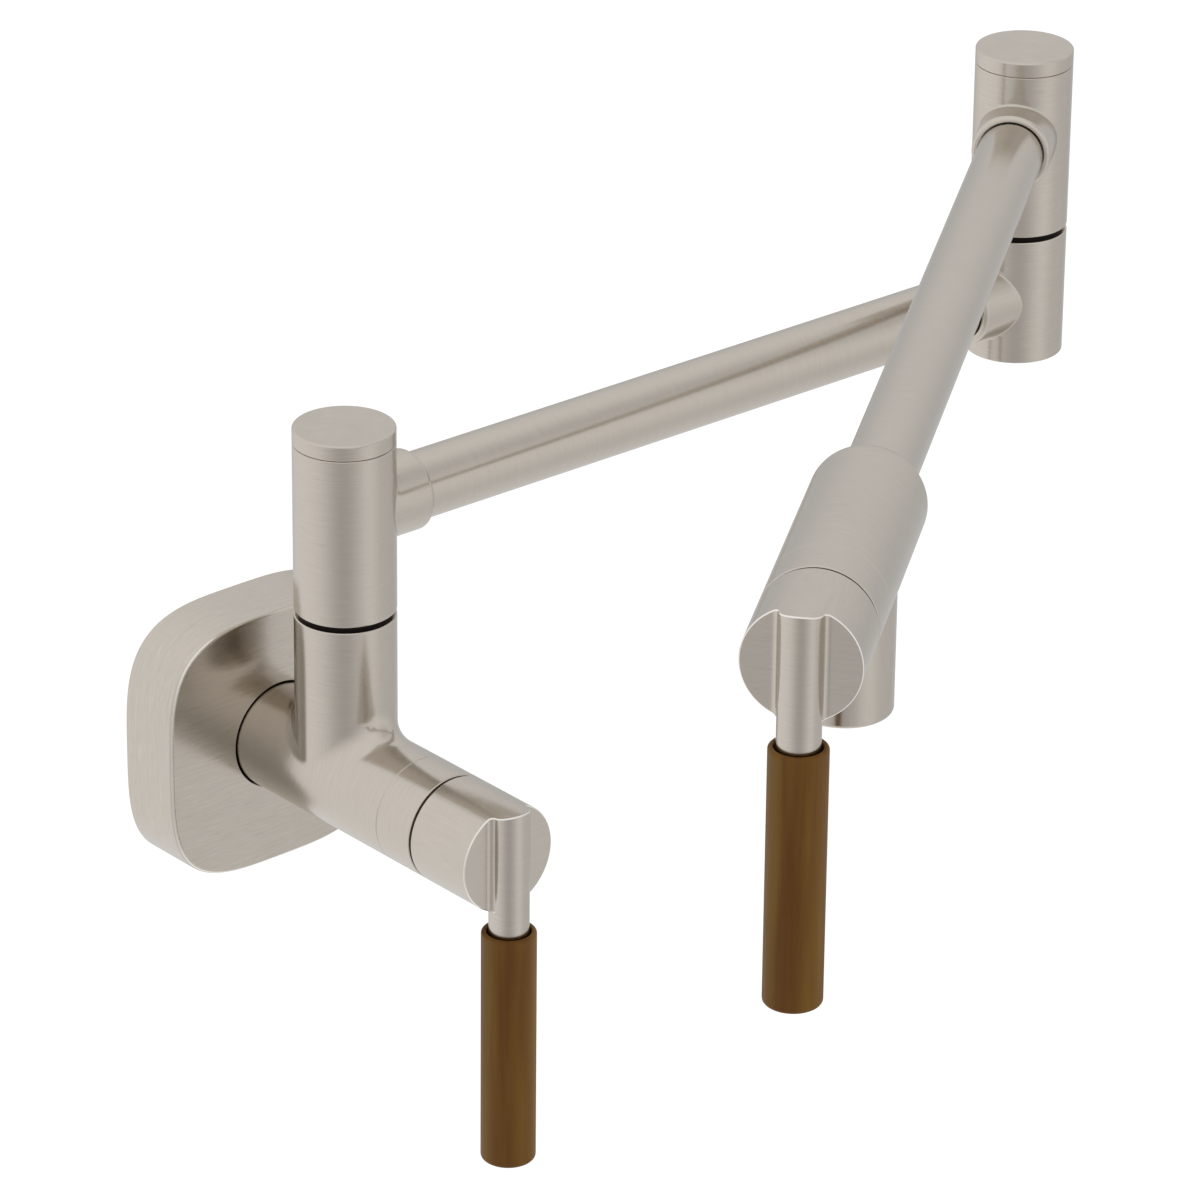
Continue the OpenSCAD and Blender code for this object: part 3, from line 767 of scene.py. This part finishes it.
class POTFILLER_OT_barrels(PieceOperator, bpy.types.Operator):
    """Build the turning barrels and the elbow base, each with its collar"""
    bl_idname = "potfiller.barrels"
    bl_label = "Joint barrels"

    def execute(self, context):
        s = sizes()
        r, c, e = s["barrel_radius"], s["collar_radius"], s["edge"]
        collar = [(c, 17.5)] + over(c, COLLAR_END, 1.6, 6) + [
            (TUBE_MOUTH, COLLAR_END), (TUBE_MOUTH, COLLAR_END - 3), (TUBE_SEAT, COLLAR_END - 3),
            (TUBE_SEAT, TUBE_START), (COLLAR_WAY, TUBE_START), (COLLAR_WAY, 11)]
        for joint, heading, body in (("shoulder", ARM_1_HEADING, "first_arm"),
                                     ("elbow", ARM_2_HEADING, "second_arm")):
            obj = branched(
                f"{joint}_upper_barrel", AT_JOINT[joint] @ level(heading), r, c, s["collar_blend"],
                centre=ARM_AT, reach=15,
                low=under(r, JOINT_GAP, e) + [(SPINDLE_BORE, JOINT_GAP), (SPINDLE_BORE, CAP_SEAT)],
                high=[(r, CAP_SEAM - SEAM_EDGE), (r - SEAM_EDGE, CAP_SEAM), (CAP_BORE, CAP_SEAM),
                      (CAP_BORE, CAP_SEAT), (SPINDLE_BORE, CAP_SEAT)],
                out=collar, through=True, steps=5)
            finish_piece(obj, upright_nickel(), body, f"{joint}_barrel")
        obj = branched(
            "elbow_lower_barrel", AT_ELBOW @ shift(0, 0, ARM_1_Z) @ level(ARM_1_HEADING + pi), r, c,
            s["collar_blend"], centre=0, reach=15,
            low=under(r, ELBOW_BOTTOM, e) + [(r - 2, ELBOW_BOTTOM)],
            high=over(r, ELBOW_TOP, e) + spindle_socket(ELBOW_TOP, -10.2),
            out=collar, through=False, steps=5)
        finish_piece(obj, upright_nickel(), "first_arm", "elbow_base")
        return {"FINISHED"}


class POTFILLER_OT_caps(PieceOperator, bpy.types.Operator):
    """Turn the caps of the two joints"""
    bl_idname = "potfiller.caps"
    bl_label = "Joint caps"

    def execute(self, context):
        r = sizes()["barrel_radius"]
        plug = CAP_BORE - 0.03
        groove = plug - 1.4
        top = 4.85
        outline = [(10, -3), (plug, -3), (plug, -2.25), (groove, -2.25), (groove, -0.75), (plug, -0.75),
                   (plug, 0), (r - 0.8, 0), (r - 0.8, 0.26), (r - 0.08, 0.26), (r, 0.34)]
        outline += over(r, top, 0.6, 6) + [(r - 3, top)]
        for joint, body in (("shoulder", "first_arm"), ("elbow", "second_arm")):
            obj = turned(f"{joint}_top_cap", outline, AT_JOINT[joint] @ shift(0, 0, CAP_SEAM))
            finish_piece(obj, upright_nickel(), body, f"{joint}_cap")
        return {"FINISHED"}


class POTFILLER_OT_tubes(PieceOperator, bpy.types.Operator):
    """Turn the tubes of the two arms"""
    bl_idname = "potfiller.tubes"
    bl_label = "Arm tubes"

    def execute(self, context):
        r = sizes()["tube_radius"]
        bore = r - TUBE_WALL
        ends = ((AT_SHOULDER @ shift(0, 0, ARM_1_Z) @ facing(ARM_1_HEADING), ARM_1 - TUBE_START),
                (AT_ELBOW @ shift(0, 0, ARM_2_Z) @ facing(ARM_2_HEADING),
                 ARM_2 - OUTLET_REAR + TUBE_END))
        for number, (place, end) in enumerate(ends, 1):
            outline = [(r, TUBE_START), (r, end), (bore, end), (bore, TUBE_START)]
            obj = turned(f"tube_{number}", outline, place, closed=True)
            finish_piece(obj, arm_nickel(number), ("first_arm", "second_arm")[number - 1],
                         f"arm_{number}_tube")
        return {"FINISHED"}


class POTFILLER_OT_outlet(PieceOperator, bpy.types.Operator):
    """Build the outlet valve body with its spout"""
    bl_idname = "potfiller.outlet"
    bl_label = "Outlet valve body"

    def execute(self, context):
        s = sizes()
        r, b = s["valve_radius"], s["spout_radius"]
        rear = -OUTLET_REAR
        crown = 7
        aerator_top = SPOUT_DROP - AERATOR_DEPTH
        obj = branched(
            "outlet_valve_body", AT_SPOUT @ facing(0), r, b, 1.0, centre=0, reach=17,
            low=arc((r - crown, rear + crown), crown, 0, -81, 12) + [
                (TUBE_MOUTH, rear + 3.5), (TUBE_SEAT, rear + 3.5), (TUBE_SEAT, rear + TUBE_END),
                (WATER_WAY, rear + TUBE_END), (WATER_WAY, OUTLET_SEAT)],
            high=valve_mouth(r, OUTLET_SEAM, OUTLET_SEAT),
            out=[(b, 19)] + over(b, SPOUT_DROP, 1.2, 6) + [
                (AERATOR_THREAD, SPOUT_DROP), (AERATOR_THREAD, aerator_top), (BARREL_WAY, aerator_top),
                (BARREL_WAY, 14)],
            through=True, steps=5)
        finish_piece(obj, arm_nickel(2), "second_arm", "outlet_body")
        return {"FINISHED"}


class POTFILLER_OT_bonnets(PieceOperator, bpy.types.Operator):
    """Turn the bonnet rings of the two valves"""
    bl_idname = "potfiller.bonnets"
    bl_label = "Bonnets"

    def execute(self, context):
        s = sizes()
        r, e = s["valve_radius"], s["edge"]
        thread = BONNET_THREAD - 0.03
        boss = r - 1.8
        boss_end = BONNET_END + 0.7
        stem_hole = 4.2
        chamber = 8.6
        chamber_end = 8.7
        thread_end = -5.5
        outline = [(thread, 0), (r - SEAM_EDGE, 0), (r, SEAM_EDGE)] + over(r, BONNET_END, e) + [
            (boss, BONNET_END), (boss, boss_end), (stem_hole, boss_end), (stem_hole, chamber_end),
            (chamber, chamber_end), (chamber, thread_end), (thread, thread_end)]
        for valve, place, material, body in (
                ("wall", AT_WALL_SEAM, wall_nickel(), "wall_body"),
                ("outlet", AT_OUTLET_SEAM, arm_nickel(2), "second_arm")):
            obj = turned(f"{valve}_bonnet_ring", outline, place, closed=True)
            finish_piece(obj, material, body, f"{valve}_bonnet")
        return {"FINISHED"}


def ridge():
    """The rod's radius, the radius of the hollows beside it, the place where a hollow meets the
    flat face, and the angle between the face and the line from that hollow's centre to the rod's"""
    s = sizes()
    rod, hollow = s["rod_radius"], s["rod_blend"]
    lean = asin((hollow - (ROD_AT - KNOB_FACE)) / (rod + hollow))
    return rod, hollow, (rod + hollow) * cos(lean), lean


def knob_height(y):
    """The knob's outer end at y: the ridge, its hollow blends and the flat face"""
    rod, hollow, foot, lean = ridge()
    y = abs(y)
    if y < rod * cos(lean):
        return ROD_AT + sqrt(rod ** 2 - y ** 2)
    if y < foot:
        return KNOB_FACE + hollow - sqrt(hollow ** 2 - (foot - y) ** 2)
    return KNOB_FACE


def knob_columns(inner):
    """Places across the knob's face, close together on the ridge and in its blends"""
    rod, hollow, foot, lean = ridge()
    start = asin(foot / inner)
    on_rod, on_hollow, on_face = 30, 12, 26
    half = [rod * sin((pi / 2 - lean) * i / on_rod) for i in range(on_rod + 1)]
    half += [foot - hollow * cos(lean + (pi / 2 - lean) * i / on_hollow)
             for i in range(1, on_hollow + 1)]
    half += [inner * sin(start + (pi / 2 - start) * i / on_face) for i in range(1, on_face + 1)]
    return [-y for y in reversed(half[1:])] + half, foot


def lever_shape(name):
    """The knob and its rod, from the bonnet's seam. The knob's end follows knob_height,
    its rims are rounded, and its rings run on to the stem's socket."""
    s = sizes()
    r, rod, e = s["valve_radius"], s["rod_radius"], s["knob_edge"]
    inner = r - e
    columns, foot = knob_columns(inner)
    last = len(columns) - 1
    points = []
    faces = []

    def add(x, y, z):
        points.append((x, y, z))
        return len(points) - 1

    spans = (-1, -0.98, -0.6, -0.2, 0.2, 0.6, 0.98, 1)
    grid = []
    for j, y in enumerate(columns):
        x = sqrt(max(0, inner ** 2 - y ** 2))
        if j in (0, last):
            grid.append([add(0, y, knob_height(y))] * len(spans))
        else:
            grid.append([add(x * k, y, knob_height(y)) for k in spans])
    for a, b in zip(grid, grid[1:]):
        for k in range(len(spans) - 1):
            corners = (a[k], a[k + 1], b[k + 1], b[k])
            faces.append(tuple(dict.fromkeys(corners)))

    ends = [(y, 1) for y in columns] + [(y, -1) for y in reversed(columns[1:-1])]

    def around(place):
        """A ring of points, up the right-hand ends of the columns and down the left"""
        return [add(*place(y, side)) for y, side in ends]

    def on_rim(rho, drop):
        def place(y, side):
            if abs(y) > foot:
                k = rho / inner
                return side * k * sqrt(max(0, inner ** 2 - y ** 2)), y * k, knob_height(y) - drop
            return side * sqrt(rho ** 2 - y ** 2), y, knob_height(y) - drop
        return around(place)

    def on_side(rho, z):
        def place(y, side):
            x1, y1, _ = outer[y, side]
            return x1 * rho / r, y1 * rho / r, z
        return around(place)

    ring = [column[-1] for column in grid] + [column[0] for column in reversed(grid[1:-1])]
    # The rim's rounding rings, all but the last, get a painted highlight
    painted_highlight = []
    bends = 5
    for k in range(1, bends + 1):
        a = pi / 2 * k / bends
        further = on_rim(inner + e * sin(a), e * (1 - cos(a)))
        faces += ring_faces(ring, further)
        ring = further
        if k < bends:
            painted_highlight += ring
    outer = {end: points[i] for end, i in zip(ends, ring)}
    lower = [add(points[i][0], points[i][1], points[i][2] - 0.3) for i in ring]
    faces += ring_faces(ring, lower)
    ring = lower
    for rho, z in ((r, KNOB_BACK + 0.6), (r, KNOB_BACK + 0.3), (r - 0.09, KNOB_BACK + 0.09),
                   (r - 0.3, KNOB_BACK), (r - 1, KNOB_BACK), (STEM_SOCKET, KNOB_BACK),
                   (STEM_SOCKET, KNOB_BACK + STEM_DEPTH)):
        further = on_side(rho, z)
        faces += ring_faces(ring, further)
        ring = further
    faces.append(tuple(ring))
    obj = mesh_object(name, points, faces)
    paint_highlight(obj, painted_highlight)
    settle(obj, Matrix.Identity(4))
    down = Matrix.Rotation(pi / 2, 4, "Y")
    cut(obj, drill(2.53, r, shift(2, 0, KNOB_BACK + 6) @ down))
    proud = rod + 0.006
    outline = [(rod - 0.03, 8), (proud, inner - 1), (proud, ROD_END - 0.2), (rod - 0.2, ROD_END),
               (STUD_HOLE, ROD_END), (STUD_HOLE, ROD_END - 10)]
    stem = turned("rod", outline, shift(0, 0, ROD_AT) @ down, sides=128)
    activate(obj)
    stem.select_set(True)
    bpy.ops.object.join()
    return obj


class POTFILLER_OT_levers(PieceOperator, bpy.types.Operator):
    """Build the two knobs with their rods"""
    bl_idname = "potfiller.levers"
    bl_label = "Levers"

    def execute(self, context):
        for valve, place, material, body in (
                ("wall", AT_WALL_SEAM, nickel("nickel_wall_lever"), "wall_handle"),
                ("outlet", AT_OUTLET_SEAM, nickel("nickel_outlet_lever"), "outlet_handle")):
            obj = settle(lever_shape(f"{valve}_knob_and_rod"), place, 40)
            finish_piece(obj, material, body, f"{valve}_lever")
        return {"FINISHED"}


class POTFILLER_OT_grips(PieceOperator, bpy.types.Operator):
    """Turn the two wooden grips"""
    bl_idname = "potfiller.grips"
    bl_label = "Grips"

    def execute(self, context):
        s = sizes()
        r = s["grip_radius"]
        mouth = s["rod_radius"] + 0.6
        outline = [(STUD_HOLE, GRIP_END - 11.97), (STUD_HOLE, ROD_END), (mouth, ROD_END),
                   (mouth, GRIP_TOP + 0.3), (mouth + 0.25, GRIP_TOP)]
        outline += under(r, GRIP_TOP, 0.9, 5)[::-1] + over(r, GRIP_END, 1.2, 6) + [(r - 3, GRIP_END)]
        for valve, place, body in (("wall", AT_WALL_SEAM, "wall_handle"),
                                   ("outlet", AT_OUTLET_SEAM, "outlet_handle")):
            lay = place @ shift(0, 0, ROD_AT) @ Matrix.Rotation(pi / 2, 4, "Y")
            obj = turned(f"{valve}_wooden_grip", outline, lay, sides=128)
            finish_piece(obj, wood(), body, f"{valve}_grip")
        return {"FINISHED"}


class POTFILLER_OT_fittings(PieceOperator, bpy.types.Operator):
    """Finish the seals, screws, discs and inner pieces"""
    bl_idname = "potfiller.fittings"
    bl_label = "Fittings"

    def execute(self, context):
        rubber = plain("black_rubber", (0.012, 0.011, 0.01), 0.65, gloss=0.2)
        brass = plain("machined_brass", (0.62, 0.42, 0.18), 0.32, 1.0)
        steel = plain("plain_steel", (0.45, 0.45, 0.46), 0.3, 1.0)
        ceramic = plain("lapped_ceramic", (0.78, 0.76, 0.7), 0.25)
        acetal = plain("black_acetal", (0.006, 0.004, 0.003), 0.55, gloss=0.12)
        finishes = {
            "wall_gasket": rubber, "flange_o_ring": rubber, "wall_seat_seal": rubber,
            "outlet_seat_seal": rubber, "shoulder_o_rings": rubber, "elbow_o_rings": rubber,
            "shoulder_cap_seal": rubber, "elbow_cap_seal": rubber, "wall_stem_seal": rubber,
            "outlet_stem_seal": rubber, "aerator_washer": rubber,
            "wall_cartridge": brass, "outlet_cartridge": brass, "shoulder_spindle": brass,
            "elbow_spindle": brass, "shoulder_nut": brass, "elbow_nut": brass,
            "wall_stem": brass, "outlet_stem": brass,
            "flange_set_screw": steel, "wall_knob_screw": steel, "outlet_knob_screw": steel,
            "wall_grip_stud": steel, "outlet_grip_stud": steel,
            "wall_fixed_disc": ceramic, "wall_moving_disc": ceramic,
            "outlet_fixed_disc": ceramic, "outlet_moving_disc": ceramic,
            "shoulder_washer": acetal, "elbow_washer": acetal, "aerator_grid": acetal,
            "aerator_ring": upright_nickel(),
        }
        for name, material in finishes.items():
            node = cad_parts[name]
            for slot in node.material_slots:
                slot.material = material
        return {"FINISHED"}


# Studio

def camera_matrix():
    azimuth, elevation, roll = radians(CAMERA_AZIMUTH), radians(CAMERA_ELEVATION), radians(CAMERA_ROLL)
    back = Vector((sin(azimuth) * cos(elevation), -cos(azimuth) * cos(elevation), sin(elevation)))
    right = Vector((cos(azimuth), sin(azimuth), 0))
    up = back.cross(right)
    across = right * cos(roll) + up * sin(roll)
    upward = up * cos(roll) - right * sin(roll)
    matrix = Matrix((across, upward, back)).transposed().to_4x4()
    matrix.translation = CAMERA_PLACE
    return matrix


def studio_glow(shade, direction):
    """What the metal sees: the white surround with its soft lights and dark cards"""
    total = 1.0
    for centre, sharpness, strength in STUDIO_CARDS:
        near = shade.dot(direction, Vector(centre).normalized() * sharpness)
        total = (near - sharpness).exp() * strength + total
    return total


class POTFILLER_OT_studio(PieceOperator, bpy.types.Operator):
    """Set the floor, the lights, the world and the camera"""
    bl_idname = "potfiller.studio"
    bl_label = "Studio"

    def execute(self, context):
        scene = context.scene
        scene.view_settings.view_transform = "Standard"
        lens = bpy.data.cameras.new("studio_camera")
        lens.sensor_width = SENSOR_WIDTH
        lens.lens = FOCAL_PIXELS / FRAME_PIXELS * SENSOR_WIDTH
        lens.clip_end = 30
        camera = bpy.data.objects.new("studio_camera", lens)
        scene.collection.objects.link(camera)
        camera.matrix_world = camera_matrix()
        scene.camera = camera

        deselect()
        bpy.ops.mesh.primitive_plane_add(size=12, location=(0, 0, FLOOR_Z))
        floor = context.object
        floor.name = "pale_floor"
        material, shade = new_material("pale_floor")
        seen = shade.node("ShaderNodeLightPath", output="Is Camera Ray")
        paper = shade.node("ShaderNodeBsdfPrincipled", Base_Color=(0.9, 0.9, 0.9, 1), Roughness=0.9)
        white = shade.node("ShaderNodeEmission", Color=(1, 1, 1, 1), Strength=1.15)
        shade.surface(shade.node("ShaderNodeMixShader", _0=seen * 0.7, _1=paper, _2=white))
        floor.data.materials.append(material)
        floor.visible_glossy = False

        world = bpy.data.worlds.new("studio_world")
        scene.world = world
        world.use_nodes = True
        shade = Shade(world.node_tree)
        camera_ray = shade.node("ShaderNodeLightPath", output="Is Camera Ray")
        glossy_ray = shade.node("ShaderNodeLightPath", output="Is Glossy Ray")
        through_ray = shade.node("ShaderNodeLightPath", output="Is Transmission Ray")
        direction = shade.node("ShaderNodeTexCoord", output="Generated")
        side = shade.dot(direction, (0.32, -0.05, 0.12))
        soft = shade.node("ShaderNodeBackground", Color=(1, 1, 1, 1), Strength=0.85 + side)
        seen = (camera_ray + glossy_ray + through_ray).clamped()
        level = (studio_glow(shade, direction) - 1.0) * glossy_ray + 1.0
        white = shade.node("ShaderNodeBackground", Color=(1, 1, 1, 1), Strength=level)
        mixed = shade.node("ShaderNodeMixShader", _0=seen, _1=soft, _2=white)
        shade.surface(mixed, "ShaderNodeOutputWorld")
        return {"FINISHED"}


class POTFILLER_PT_panel(bpy.types.Panel):
    bl_label = "Pot filler"
    bl_idname = "POTFILLER_PT_panel"
    bl_space_type = "VIEW_3D"
    bl_region_type = "UI"
    bl_category = "Pot filler"

    def draw(self, context):
        layout = self.layout
        for group in (context.scene.pot_filler_sizes, context.scene.pot_filler_finish):
            box = layout.box()
            for name in group.__annotations__:
                box.prop(group, name)
        for operator in OPERATORS:
            layout.operator(operator.bl_idname)


OPERATORS = (
    POTFILLER_OT_flange, POTFILLER_OT_body, POTFILLER_OT_barrels, POTFILLER_OT_caps,
    POTFILLER_OT_tubes, POTFILLER_OT_outlet, POTFILLER_OT_bonnets, POTFILLER_OT_levers,
    POTFILLER_OT_grips, POTFILLER_OT_fittings, POTFILLER_OT_studio)
CLASSES = (PotFillerSizes, PotFillerFinish) + OPERATORS + (POTFILLER_PT_panel,)


def register():
    for cls in CLASSES:
        bpy.utils.register_class(cls)
    bpy.types.Scene.pot_filler_sizes = PointerProperty(type=PotFillerSizes)
    bpy.types.Scene.pot_filler_finish = PointerProperty(type=PotFillerFinish)


def unregister():
    del bpy.types.Scene.pot_filler_finish
    del bpy.types.Scene.pot_filler_sizes
    for cls in reversed(CLASSES):
        bpy.utils.unregister_class(cls)


def main():
    register()
    for operator in OPERATORS:
        group, name = operator.bl_idname.split(".")
        getattr(getattr(bpy.ops, group), name)()


if __name__ == "__main__":
    main()
